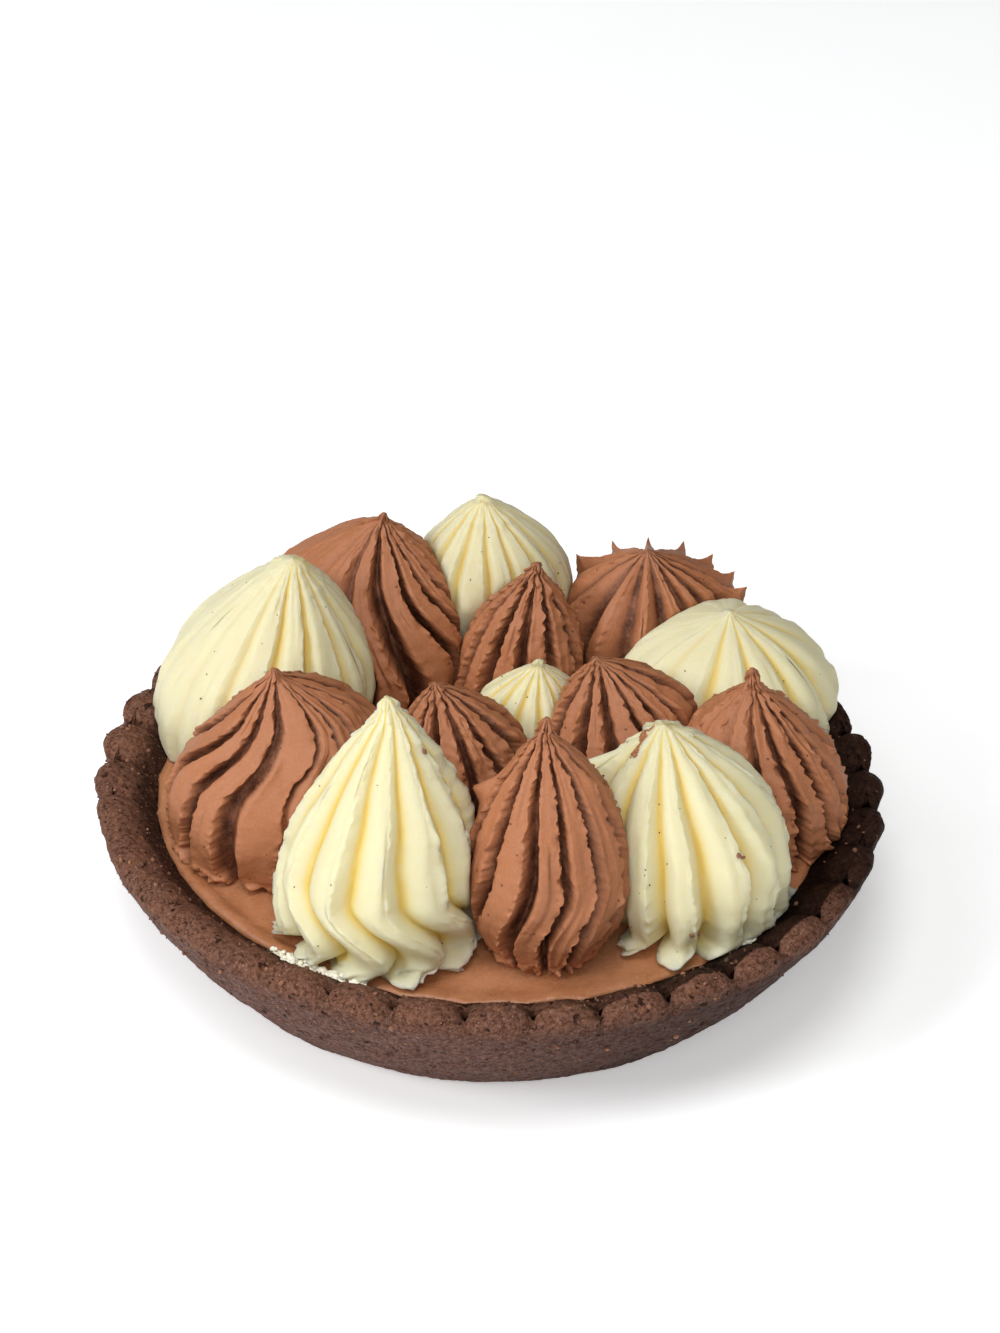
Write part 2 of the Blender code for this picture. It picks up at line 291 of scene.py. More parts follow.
def pastry_material():
    """Cocoa shortcrust, with flecks, sugar grains, orange spots, and pits with painted shade in them.

    It is purplish on the wall and browner on the rim. It is darker on the inner wall below the rim, which
    is painted shade, and nearly black on the right side, which is painted shadow.
    """
    material, tree, shader = new_material("cocoa_pastry", Roughness=0.75, Specular_IOR_Level=0.05)
    rim = add_attribute(tree, "rim")
    base = add_mix(tree, rim, colour(0.135, 0.065, 0.050), colour(0.190, 0.083, 0.050))
    patches = add_noise(tree, 3.0, detail=5)
    base = add_patches(tree, base, patches, 0.35, 0.68, 0.5, colour(0.13, 0.062, 0.045))
    grain = add_noise(tree, 0.55, detail=6, roughness=0.75)
    base = add_mix(tree, add_range(tree, grain, 0.40, 0.52, 0.65, 0), base, colour(0.036, 0.015, 0.010))
    base = add_mix(tree, add_range(tree, grain, 0.50, 0.68, 0, 0.75), base, colour(0.27, 0.145, 0.105))
    # Painted shade on the inner wall, in the recess between the rim and the filling.
    base = add_mix(tree, add_attribute(tree, "painted_inner_shade"), base, colour(0.30, 0.27, 0.25), "MULTIPLY")
    sugar = add_range(tree, add_dots(tree, 0.42), 0.1, 0.34, 1, 0)
    sugar = add_scaled(tree, sugar, add_range(tree, add_noise(tree, 1.3), 0.47, 0.6))
    base = add_flecks(tree, base, sugar, 0.6, colour(0.42, 0.27, 0.20))
    # Painted shade: small pits are dented in the bump and painted near black inside.
    shaded_pit = add_range(tree, add_noise(tree, 1.3, detail=2), 0.30, 0.35, 1, 0)
    base = add_flecks(tree, base, shaded_pit, 0.8, colour(0.012, 0.006, 0.005))
    orange = add_range(tree, add_noise(tree, 1.0, detail=2), 0.70, 0.74)
    base = add_flecks(tree, base, orange, 0.7, colour(0.38, 0.16, 0.05))
    # Painted shadow: the side away from the key light is multiplied nearly to black.
    base = add_mix(tree, add_attribute(tree, "painted_side_shade"), base, colour(0.16, 0.15, 0.15), "MULTIPLY")
    tree.links.new(base, shader.inputs["Base Color"])
    relief = add_math(tree, "ADD", add_noise(tree, 0.9, detail=5), grain)
    relief = add_math(tree, "SUBTRACT", relief, shaded_pit)
    add_bump(tree, shader, relief, 0.21)
    roughness = add_range(tree, add_noise(tree, 1.4), 0.35, 0.7, 0.5, 0.75)
    tree.links.new(roughness, shader.inputs["Roughness"])
    return material


def tone_material(name, dark, light, roughness):
    """For crumbs, specks and scraps, each with its own tone between two colours."""
    material, tree, shader = new_material(name, Roughness=roughness)
    mixed = add_mix(tree, add_attribute(tree, "tone"), dark, light)
    mixed = add_mix(tree, add_range(tree, add_noise(tree, 0.3), 0.4, 0.7, 0, 0.3), mixed, light)
    tree.links.new(mixed, shader.inputs["Base Color"])
    add_bump(tree, shader, add_noise(tree, 0.2), 0.05)
    return material


# ---------------------------------------------------------------- meshes


def object_from_bmesh(name, bm, material):
    mesh = bpy.data.meshes.new(name)
    bm.to_mesh(mesh)
    bm.free()
    mesh.materials.append(material)
    made = bpy.data.objects.new(name, mesh)
    bpy.context.scene.collection.objects.link(made)
    return made


def object_from_arrays(name, points_mm, faces, material, attributes):
    mesh = bpy.data.meshes.new(name)
    mesh.from_pydata((np.asarray(points_mm) * MM).tolist(), [], faces)
    mesh.materials.append(material)
    for key, values in attributes.items():
        layer = mesh.attributes.new(key, "FLOAT", "POINT")
        layer.data.foreach_set("value", np.asarray(values, np.float32))
    mesh.shade_smooth()
    mesh.validate()
    made = bpy.data.objects.new(name, mesh)
    bpy.context.scene.collection.objects.link(made)
    return made


def grid_faces(rows, columns):
    """Quads between the rings of a closed body that is a pole, then rows of points, then the other pole."""
    index = np.arange(rows * columns).reshape(rows, columns)
    after = np.roll(index, -1, axis=1)
    quads = np.stack([index[:-1], after[:-1], after[1:], index[1:]], -1).reshape(-1, 4).tolist()
    first, last = rows * columns, rows * columns + 1
    caps = [[first, int(b), int(a)] for a, b in zip(index[0], after[0])]
    caps += [[last, int(a), int(b)] for a, b in zip(index[-1], after[-1])]
    return quads + caps


def closed_body(name, rings, first_pole, last_pole, material, attributes):
    """A closed body from an array of rings (rows, columns, 3) and a pole at each end."""
    rows, columns, _ = rings.shape
    points = np.concatenate([rings.reshape(-1, 3), [first_pole, last_pole]])
    padded = {key: np.concatenate([value.reshape(-1), [0, 0]]) for key, value in attributes.items()}
    return object_from_arrays(name, points, grid_faces(rows, columns), material, padded)


def grain(points, size, seed=0.0):
    """Smooth noise from -1 to 1 at each point, with features of this size in millimetres."""
    shape = points.shape[:-1]
    places = (points.reshape(-1, 3) / size + seed).tolist()
    return np.array([noise.noise(place) for place in places]).reshape(shape)


def ease(value):
    """A smooth step from 0 to 1."""
    value = np.clip(value, 0, 1)
    return value * value * (3 - 2 * value)


def heading(angle):
    """Unit vectors at these angles, which run from the front towards +X."""
    return np.stack([np.sin(angle), -np.cos(angle)], -1)


def add_piece(piece, slot, *nodes):
    """Attaches a piece to the root body and hides the nodes, if any, that it takes the place of. slot is not
    used.
    """
    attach(piece, "root")
    if nodes:
        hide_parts(*nodes)


# ---------------------------------------------------------------- pastry case and filling

RIM_RADIUS = 50.5
RIM_MIDDLE = 48.1
CASE_HEIGHT = 20.6
FOOT_RADIUS = 36.5
FLOOR_THICKNESS = 4.5
FILLING_TOP = 16.5
FILLING_FLOOR = 4.8
POLE_RADIUS = 4  # of the ring beside the middle of the underside and the floor
TURN_STEPS = 792
FILLING_TURN_STEPS = 360

FLUTES = 36
FLUTE_SHIFT = math.radians(2.5)
FLUTE_GROOVE = 1.3  # the depth of the groove between two flutes
FLUTE_CROWN = 0.85  # how far a flute's sides lie below its middle
GROOVE_WIDTH = 0.5
WORN_AT, WORN_WIDTH = -55, 34  # the azimuth where the flutes are worn, and how far the wear reaches
WORN_SHARE = 0.75

# The case's profile as (radius, height), from the foot up the outer face, over the rim and down inside.
OUTER_WALL = ((FOOT_RADIUS, 0.0), (38.2, 1.0), (43.2, 6.8), (47.8, 13.4), (49.9, 17.2), (RIM_RADIUS, 19.0))
RIM = ((49.9, 20.1), (RIM_MIDDLE, CASE_HEIGHT), (46.4, 19.9))
INNER_WALL = ((44.1, 17.9), (42.2, 16.3), (40.2, 11.0), (36.9, 5.6), (34.5, FLOOR_THICKNESS))
# The free space inside the case as (height, radius). It widens over the rim, where a rosette may lie on it.
FREE_INSIDE = (
    (4.5, 34.5), (5.6, 36.9), (11.0, 40.2), (16.5, 42.1), (18.3, 44.2), (19.9, 46.2), (21.2, 47.8),
    (23.0, 49.8), (26.0, 54.0),
)


def resampled(profile, step, rounding):
    """Points every step along a profile, with its corners rounded over about this length."""
    profile = np.array(profile, float)
    length = np.concatenate([[0], np.cumsum(np.linalg.norm(np.diff(profile, axis=0), axis=1))])
    places = np.linspace(0, length[-1], round(length[-1] / step) + 1)
    points = np.stack([np.interp(places, length, profile[:, axis]) for axis in (0, 1)], -1)
    half = max(1, round(rounding / step / 2))
    padded = np.concatenate([np.repeat(points[:1], half, 0), points, np.repeat(points[-1:], half, 0)])
    window = np.ones(2 * half + 1) / (2 * half + 1)
    smooth = np.stack([np.convolve(padded[:, axis], window, "valid") for axis in (0, 1)], -1)
    smooth[0], smooth[-1] = points[0], points[-1]
    return smooth


def profile_normals(profile):
    """Unit normals of a profile that runs from the underside up the outer face and back down inside."""
    along = np.gradient(profile, axis=0)
    normal = np.stack([along[:, 1], -along[:, 0]], -1)
    return normal / np.linalg.norm(normal, axis=1, keepdims=True)


def flute_depth(angle):
    """How far the rim lies below a flute's crown: each flute is a barrel with a narrow groove beside it."""
    wander = 0.10 * grain(np.stack([np.sin(angle) * 9, np.cos(angle) * 9, angle * 0], -1), 1.0)
    phase = (angle + FLUTE_SHIFT) * FLUTES / math.tau + wander
    past_groove = phase - np.round(phase)
    pitch = math.tau * RIM_MIDDLE / FLUTES
    width = np.where(past_groove < 0, 1.7, 0.6) * GROOVE_WIDTH
    groove = np.exp(-np.abs(past_groove * pitch / width) ** 1.6)
    depth = FLUTE_GROOVE * groove + FLUTE_CROWN * (1 + np.cos(math.tau * past_groove)) / 2
    uneven = 1 + 0.35 * grain(np.stack([np.round(phase) * 3.7, angle * 0, angle * 0], -1), 1.0, 5)
    worn = ease(1.3 - np.abs(np.degrees(angle) - WORN_AT) / WORN_WIDTH)
    return depth * uneven * (1 - WORN_SHARE * worn)


def case_shape():
    """The case's rings, and each point's share of the rim, of the inner wall's painted shade and of the
    painted shadow.
    """
    lower = resampled([(POLE_RADIUS, 0), (FOOT_RADIUS - 0.8, 0)], step=4, rounding=1)
    wall = [(FOOT_RADIUS - 0.5, 0), *OUTER_WALL, *RIM, *INNER_WALL[:2]]
    wall = resampled(wall, step=0.40, rounding=1.2)
    hidden = resampled([*INNER_WALL[1:], (POLE_RADIUS, FLOOR_THICKNESS)], step=3, rounding=1)[1:]
    profile = np.concatenate([lower, wall, hidden])
    normal = profile_normals(profile)
    angle = np.arange(TURN_STEPS) / TURN_STEPS * math.tau - math.pi
    azimuth = np.degrees(angle)
    depth = flute_depth(angle)[None, :]
    radius, height = profile[:, :1], profile[:, 1:]
    outside = radius > RIM_MIDDLE
    near_rim = np.where(outside, ease((height - 15.8) / 2.8), ease((height - 16.0) / 3.0))
    on_top = ease((height - 18.8) / 1.3)
    scallop = np.where(outside, 0.4 + 0.45 * ease((np.abs(azimuth) - 55) / 25), 0.7)
    radius = radius - scallop * near_rim * depth * np.where(outside, 1, -1) * (1 - 0.5 * on_top)
    height = height - depth * on_top
    place = heading(angle)[None] * radius[..., None]
    points = np.concatenate([place, np.broadcast_to(height, radius.shape)[..., None]], -1)
    waves = 0.24 * grain(points, 5.0) + 0.11 * grain(points, 1.9, 7)
    crumb = 0.13 * grain(points * (1, 1, 0.7), 0.85, 3)
    pits = np.clip(grain(points * (1, 1, 1.8), 1.2, 11) - 0.36, 0, 1)
    relief = (waves + crumb - pits) * ease((points[..., 2] - 0.2) / 1.5)
    shift = normal[:, None, :] * relief[..., None]
    points[..., :2] += heading(angle)[None] * shift[..., :1]
    points[..., 2] += shift[..., 1]
    points[..., 2] = np.maximum(points[..., 2], 0)
    inside = (np.arange(len(profile)) > profile[:, 1].argmax())[:, None]
    # Painted shade: the inner wall below the rim's top, in the recess above the filling, is darkened.
    painted_inner_shade = inside * ease((19.4 - height) / 1.6)
    # Painted shadow: from the front round the right to the back, the outer wall and the rim's right side are
    # darkened, and so is all of the inner wall there.
    side = ease((azimuth + 12) / 52) * ease((175 - azimuth) / 50)
    painted_side_shade_wall = 0.65 * ease((19.4 - height) / 3.5)
    painted_side_shade_rim = 0.95 * ease((azimuth - 54) / 18) * near_rim
    painted_side_shade = np.clip(side * np.where(inside, 1, painted_side_shade_wall + painted_side_shade_rim), 0, 1)
    attributes = {"rim": near_rim, "painted_inner_shade": painted_inner_shade, "painted_side_shade": painted_side_shade}
    return points, {key: np.broadcast_to(value, radius.shape) for key, value in attributes.items()}


def make_case(material):
    rings, attributes = case_shape()
    case = closed_body("case_pastry", rings, (0, 0, 0), (0, 0, FLOOR_THICKNESS), material, attributes)
    add_piece(case, "pastry", "pastry_case")
    return rings


def inner_radius(height):
    """The free radius inside the case at this height."""
    return np.interp(height, *zip(*FREE_INSIDE))


def make_filling(material):
    """The filling, which fills the case and climbs a little where it meets the pastry."""
    edge = float(inner_radius(FILLING_TOP))
    top = resampled([(edge + 0.3, FILLING_TOP), (6, FILLING_TOP)], step=0.8, rounding=1)
    below = [(POLE_RADIUS, FILLING_FLOOR), (34.0, FILLING_FLOOR), (36.5, 5.9), (39.9, 11)]
    side = resampled([*below, (edge, FILLING_TOP - 0.4)], step=3, rounding=1)
    profile = np.concatenate([side, top])
    angle = np.arange(FILLING_TURN_STEPS) / FILLING_TURN_STEPS * math.tau - math.pi
    radius = profile[:, :1] + 0.3 * flute_depth(angle)[None] * ease((profile[:, :1] - 39) / 3)
    place = heading(angle)[None] * radius[..., None]
    points = np.concatenate([place, np.broadcast_to(profile[:, 1:], radius.shape)[..., None]], -1)
    on_top = (np.arange(len(profile)) >= len(side))[:, None]
    from_edge = edge - radius
    lip_here = 0.35 + 0.65 * ease(1 - np.abs(np.degrees(angle) + 50) / 34)[None]
    lip = 0.7 * lip_here * np.exp(-(((from_edge - 0.9) / 0.8) ** 2))
    dip = -0.25 * np.exp(-(((from_edge - 3.2) / 1.6) ** 2))
    points[..., 2] += on_top * (lip + dip + 0.30 * grain(points, 7.0) + 0.10 * grain(points, 2.2, 5))
    poles = (0, 0, FILLING_FLOOR), (0, 0, FILLING_TOP)
    filling = closed_body("filling_caramel", points, *poles, material, {})
    add_piece(filling, "filling", "filling")


# ---------------------------------------------------------------- rosettes

# base and tip are (x, y) in millimetres, as are height and radius. crests are the fins' edges that can be
# seen from the front, in degrees, and pitch is the angle between the others. After each crest comes a
# groove: valley is its share of the pitch, bottom is where in it the deepest line runs, and groove is its
# depth as a share of the radius. shoulder rounds the upper part: low is a cone, high a bulb. widest is
# the level of the greatest radius, and foot is how far the base draws in below it. sweep turns the fins
# between two levels, and curl turns them further, or back, at the foot. bulge fills out the side that
# faces bulge_at, and plain is the share of the grooves that this side loses. ragged is how torn the edges
# are, and ruffle how far the fins facing ruffle_at are crimped. spire is the length of the drawn-out tip,
# nub its radius, and hook how far it leans over. flare is how far each fin spreads at the foot, and
# torn_foot how far the foot's edge is torn, in millimetres. smooth is the share of the grooves that the
# lower half loses on the side that faces smooth_at. spikes are points drawn up from the fins, given as
# the direction that they face, their level and their length. tabs are flaps of cream dragged out by the
# nozzle, each with its angle, level, reach in millimetres, half-width in degrees and half-height. A level,
# like a half-height, is a share of the rosette's height, from 0 at its base to 1 at its tip.
USUAL = {
    "shoulder": 2.0, "widest": 0.24, "foot": 0.08, "lean": 1.5, "foot_groove": 0.5, "sweep": 0,
    "sweep_levels": (0.3, 0.1), "curl": 0, "bulge": 0, "bulge_at": 0, "plain": 0, "ragged": 0.5,
    "ruffle": 0, "ruffle_at": 90, "hook": (0, 0), "nub": 0.8, "spire": 1.0, "flare": 0, "smooth": 0,
    "smooth_at": 0, "spikes": (), "torn_foot": 0, "tabs": (),
}
# A rosette's row gives each of OWN, and what differs from USUAL.
OWN = ("name", "cream", "base", "tip", "height", "radius", "crests", "pitch", "valley", "bottom", "groove")
Rosette = namedtuple("Rosette", (*OWN, *USUAL), defaults=USUAL.values())

ROSETTES = (
    Rosette(
        "rosette_vanilla_1", "vanilla", base=(-13.2, -28), tip=(-12, -25.2), height=32, radius=13.0,
        crests=(-64, -27, 6, 39, 68), pitch=33, valley=0.8, bottom=0.34, groove=0.17,
        shoulder=1.5, foot=0.06, foot_groove=0.9, sweep=34, sweep_levels=(0.34, 0.10), curl=-20,
        bulge=0.05, bulge_at=80, ragged=1.2, ruffle=0.5, ruffle_at=110, hook=(-0.6, 0.2), nub=1.1, spire=1.0,
        torn_foot=2.3,
    ),
    Rosette(
        "rosette_caramel_1", "caramel", base=(7.1, -31.5), tip=(6.2, -26), height=30.5, radius=10.0,
        crests=(-52, -17, 17, 42, 70), pitch=30, valley=0.42, bottom=0.72, groove=0.40,
        shoulder=1.6, widest=0.36, foot=0.45, lean=0.6, foot_groove=-0.2,
        sweep=-20, sweep_levels=(0.45, 0.12), bulge=0.1, bulge_at=110, ragged=1.8, ruffle=0.5, ruffle_at=120,
        hook=(0.3, 0), nub=0.95, spire=2.0, torn_foot=1.0,
        tabs=((-98, 0.66, 2.2, 7, 0.05), (-84, 0.42, 2.4, 7, 0.07), (66, 0.78, 0.9, 7, 0.05)),
    ),
    Rosette(
        "rosette_vanilla_2", "vanilla", base=(25, -22.6), tip=(20.9, -17.0), height=24, radius=12.2,
        crests=(-60, -22, 6, 38, 62), pitch=30, valley=0.7, bottom=0.35, groove=0.24,
        shoulder=2.3, widest=0.34, foot=0.13, foot_groove=1.1, sweep=-4, sweep_levels=(0.5, 0.1), curl=-12,
        bulge=0.06, bulge_at=90, ragged=1.3, ruffle=0.45, ruffle_at=90, nub=1.8, spire=0.2, flare=1.8,
        torn_foot=1.7,
        tabs=((-102, 0.74, 3.4, 8, 0.08), (-150, 0.9, 1.2, 12, 0.05)),
    ),
    Rosette(
        "rosette_caramel_2", "caramel", base=(34.6, -4), tip=(32, -1.5), height=22.5, radius=11.2,
        crests=(-46, -14, 12, 36, 58, 82), pitch=28, valley=0.45, bottom=0.7, groove=0.42,
        foot=0.08, sweep=10, sweep_levels=(0.8, 0.3), bulge=0.06, bulge_at=-80, plain=0.9,
        ragged=2.6, ruffle=0.4, ruffle_at=40, nub=0.95, spire=2.2, hook=(0.3, 0), torn_foot=1.0,
        tabs=((30, 0.74, 1.5, 6, 0.05), (-14, 0.5, 1.2, 6, 0.05), (62, 0.62, 1.3, 6, 0.04)),
    ),
    Rosette(
        "rosette_vanilla_3", "vanilla", base=(30.7, 17.8), tip=(30.3, 19.2), height=17.6, radius=14.4,
        crests=(-55, -24, 8, 36, 64), pitch=29, valley=0.62, bottom=0.4, groove=0.145,
        shoulder=3.0, foot=0.06, foot_groove=0.3, bulge=0.06, bulge_at=-120, plain=0.85, ragged=0.7,
        nub=1.3, spire=0.6,
    ),
    Rosette(
        "rosette_caramel_3", "caramel", base=(21.2, 31.5), tip=(19.5, 29), height=20.4, radius=13.7,
        crests=(-156, -130, -102, -70, -36, -2, 28, 50, 72, 94, 116, 138, 160, 182), pitch=24, valley=0.75,
        bottom=0.6, groove=0.33, shoulder=2.25, foot_groove=0, bulge_at=-60, plain=0.25, ragged=1.1, nub=0.9,
        spire=0.6, spikes=(150, 0.57, 2.1),
    ),
    Rosette(
        "rosette_vanilla_4", "vanilla", base=(-0.8, 35.5), tip=(-2.3, 32.8), height=25.6, radius=11.5,
        crests=(-62, -32, -2, 23, 44, 66), pitch=27, valley=0.5, bottom=0.4, groove=0.13,
        shoulder=2.3, foot=0.08, bulge=0.05, bulge_at=90, ragged=0.4, nub=1.2, spire=0.7,
    ),
    Rosette(
        "rosette_caramel_4", "caramel", base=(-16.6, 28.4), tip=(-15.5, 29.5), height=24.6, radius=15.4,
        crests=(-34, -8, 24, 42, 58, 74, 92), pitch=27, valley=0.46, bottom=0.62, groove=0.42,
        shoulder=1.75, foot=0.08, sweep=28, sweep_levels=(0.8, 0.2), bulge=0.1, bulge_at=-90, plain=0.92,
        ragged=1.7, ruffle=0.2, ruffle_at=60, hook=(0.4, -0.3), nub=0.8, spire=1.3,
        tabs=((-85, 0.95, 2.6, 10, 0.018), (75, 0.9, 0.9, 9, 0.03)),
    ),
    Rosette(
        "rosette_vanilla_5", "vanilla", base=(-30.2, 13.2), tip=(-26.3, 15), height=26, radius=14.4,
        crests=(-82, -55, -28, -3, 23, 49, 71), pitch=27, valley=0.5, bottom=0.42, groove=0.165,
        shoulder=1.95, foot=0.05, bulge_at=-85, plain=0.85, ragged=0.7, nub=1.6, spire=0.1,
    ),
    Rosette(
        "rosette_caramel_5", "caramel", base=(-28, -10.3), tip=(-27.1, -8), height=24.3, radius=12.8,
        crests=(-52, -24, 6, 46, 60, 74, 90, 106), pitch=33, valley=0.4, bottom=0.45, groove=0.27,
        shoulder=1.7, foot=0.1, sweep=-36, sweep_levels=(0.82, 0.42), curl=8,
        bulge=0.27, bulge_at=105, ragged=1.5, ruffle=0.6, ruffle_at=110, nub=0.9, spire=1.2,
        smooth=0.9, smooth_at=42, torn_foot=1.5,
    ),
    Rosette(
        "rosette_caramel_6", "caramel", base=(-3.6, -3.2), tip=(-7.4, -3.4), height=20, radius=9.0,
        crests=(-46, -20, 13, 42, 64), pitch=30, valley=0.48, bottom=0.7, groove=0.38,
        foot=0.08, bulge=0.15, bulge_at=100, ragged=1.8, ruffle=0.5, ruffle_at=60, nub=1.0, spire=0.6,
    ),
    Rosette(
        "rosette_caramel_7", "caramel", base=(3, 21), tip=(5.1, 22.3), height=22, radius=8.6,
        crests=(-74, -43, -12, 22, 55), pitch=32, valley=0.48, bottom=0.7, groove=0.40,
        shoulder=2.2, foot=0.08, ragged=1.9, ruffle=0.3, ruffle_at=30, nub=1.1, spire=1.1,
        tabs=((48, 0.88, 1.2, 8, 0.03), (-42, 0.9, 0.9, 8, 0.03), (60, 0.72, 0.9, 7, 0.04)),
    ),
    Rosette(
        "rosette_caramel_8", "caramel", base=(15.8, 2.5), tip=(13, 3.5), height=20, radius=9.6,
        crests=(-38, -4, 30, 48, 66, 84), pitch=32, valley=0.48, bottom=0.7, groove=0.38,
        shoulder=1.9, bulge=0.3, bulge_at=95, ragged=1.8, ruffle=0.5, ruffle_at=90, nub=1.1, spire=0.5,
    ),
    Rosette(
        "rosette_vanilla_6", "vanilla", base=(4.8, 8.5), tip=(5.7, 6.9), height=17.2, radius=8.8,
        crests=(-60, -30, 0, 30, 60), pitch=30, valley=0.6, bottom=0.4, groove=0.17,
        shoulder=2.1, foot=0.06, ragged=0.4, ruffle=0.2, ruffle_at=0,
    ),
)

STEPS_PER_FIN = 20
RINGS_PER_MM = {"vanilla": 3.5, "caramel": 5.1}
CREST_CROWDING = 0.6  # how far the points of a fin gather at its crest
TIP_SHARE = 0.07  # the radius at the tip, as a share of the greatest
TIP_LENGTH = 1.2  # of the scrap that starts below the spire
FIN_UNEVENNESS = 0.07
# The groove attribute carries the painted shade in the grooves.
FULL_SHADE_DEPTH = 0.17  # from this depth a groove has its full colour
SINK = 0.2  # how far the base sinks into the filling
# The exponents of a groove's two walls: below 1 is steep at first, above 1 is steep at the end.
VALLEY_WALLS = {"vanilla": (1.0, 1.35), "caramel": (0.85, 0.5)}
LAND_DISH = {"vanilla": 0.004, "caramel": 0.018}  # the hollow between a groove and the next crest
SURFACE_GRAIN = {"vanilla": 0.04, "caramel": 0.08}


def facing(angle, direction):
    """From 0 to 1, how far each angle faces a direction, which is in degrees."""
    return np.maximum(np.cos(angle - math.radians(direction)), 0)


def round_the_axis(turn, rise, winding, shift):
    """Places for noise that has no seam after a whole turn."""
    return np.stack([np.sin(turn) * winding + shift, np.cos(turn) * winding, rise], -1)


def outline(rosette, level, angle):
    """A rosette's crest radius at a level from 0, its base, to 1, its tip, and in one direction."""
    level = level / (1 - rosette.spire / rosette.height)
    above = np.clip((level - rosette.widest) / (1 - rosette.widest), 0, 1)
    below = np.clip((rosette.widest - level) / rosette.widest, 0, 1)
    fuller = rosette.bulge * facing(angle, rosette.bulge_at)
    share = 1 - (1 - TIP_SHARE) * above ** (rosette.shoulder * (1 + 4 * fuller)) - rosette.foot * below**2
    return rosette.radius * (1 + fuller) * np.where(level > 1, 0, share)


def centre_line(rosette, level):
    """The middle of a rosette at a level: it leans towards the tip, and hooks over at the end."""
    base, tip = np.array(rosette.base), np.array(rosette.tip)
    lean = np.clip(level, 0, 1) ** rosette.lean
    hook = np.clip((level - 0.9) / 0.1, 0, 1) ** 2
    return base + (tip - base) * lean[..., None] + np.array(rosette.hook) * hook[..., None]


def sweep(rosette, level):
    """How far the fins have turned at a level, in radians."""
    start, end = rosette.sweep_levels
    swept = math.radians(rosette.sweep) * ease((start - level) / (start - end))
    return swept + math.radians(rosette.curl) * ease((0.1 - level) / 0.1)


def crest_angles(rosette):
    """Every crest's angle: those that are given, then evenly spaced ones round the far side."""
    seen = list(rosette.crests)
    rest = seen[0] + 360 - seen[-1]
    count = max(1, round(rest / rosette.pitch))
    return np.radians(seen + [seen[-1] + rest * step / count for step in range(1, count)])


def free_reach(rosette, level, angle):
    """How far a rosette may reach from its centre line before it meets a neighbour or the case."""
    height = FILLING_TOP + level * rosette.height
    centre = centre_line(rosette, level)
    along = (centre * heading(angle)).sum(-1)
    wall = inner_radius(height)
    reach = -along + np.sqrt(np.maximum(along**2 - (centre**2).sum(-1) + wall**2, 0))
    for other in ROSETTES:
        if other is rosette:
            continue
        other_level = (height - FILLING_TOP) / other.height
        between = centre_line(other, other_level) - centre
        towards = np.arctan2(between[..., 0], -between[..., 1])
        own_radius = outline(rosette, level, towards)
        other_radius = outline(other, other_level, towards + math.pi)
        distance = np.linalg.norm(between, axis=-1)
        alignment = np.cos(angle - towards)
        share = own_radius / np.maximum(own_radius + other_radius, 1e-9)
        limit = share * distance / np.maximum(alignment, 1e-3)
        reach = np.where((alignment > 1e-3) & (other_radius > 0), np.minimum(reach, limit), reach)
    return reach


def soft_minimum(first, second, softness=0.35):
    """The lesser of two lengths, with the change from one to the other rounded over this softness."""
    gap = np.clip((second - first) / softness, -30, 30)
    return first - softness * np.log1p(np.exp(-gap))


def valley_depth(rosette, place):
    """The depth of the groove, from 0 to 1, at a place from 0, a crest, to 1, the next crest."""
    across = np.clip(place / rosette.valley, 0, 1)
    steep, gentle = VALLEY_WALLS[rosette.cream]
    falling = np.clip(across / rosette.bottom, 0, 1) ** steep
    rising = np.clip((1 - across) / (1 - rosette.bottom), 0, 1) ** gentle
    return np.where(across < rosette.bottom, falling, rising)


def fin_columns(rosette):
    """Each column's angle, its fin, and its place from 0, a crest, to 1, the next crest."""
    crests = crest_angles(rosette)
    gaps = np.diff(np.append(crests, crests[0] + math.tau))
    even = np.arange(STEPS_PER_FIN) / STEPS_PER_FIN
    place = even - CREST_CROWDING * np.sin(math.tau * even) / math.tau
    turn = (crests[:, None] + place * gaps[:, None]).reshape(-1)
    place = np.tile(place, len(crests))
    fin = np.repeat(np.arange(len(crests)), STEPS_PER_FIN) + (place > 0.5 * (1 + rosette.valley))
    return turn, fin % len(crests), place


def plain_share(rosette, level, angle):
    """The share of its grooves that a rosette loses at each level and angle."""
    plain = rosette.plain * facing(angle, rosette.bulge_at) ** 0.7
    smooth = rosette.smooth * facing(angle, rosette.smooth_at) ** 2 * ease((0.62 - level) / 0.18)
    return np.maximum(plain, smooth)


def tab_reach(tab, level, angle):
    """How far a flap of dragged cream reaches out at each level and angle."""
    at, tab_level, reach, half_width, half_height = tab
    off = np.degrees(np.abs((angle - math.radians(at) + math.pi) % math.tau - math.pi))
    return reach * np.exp(-((off / half_width) ** 2) - np.abs((level - tab_level) / half_height) ** 1.5)


def spike_share(rosette, level, angle, from_crest, fin_line):
    """How far each point is drawn up with its fin's spike, as a share of the spike's length."""
    at, spike_level, _ = rosette.spikes
    peak = np.exp(-np.abs(level - spike_level) / 0.07) * np.clip(1 - from_crest / 0.5, 0, 1) ** 2.1
    side = ease((np.cos(angle - math.radians(at)) + 0.2) / 0.4)
    return peak * side * (1 + 0.3 * grain(fin_line * (1, 0, 0), 1.0, 4))


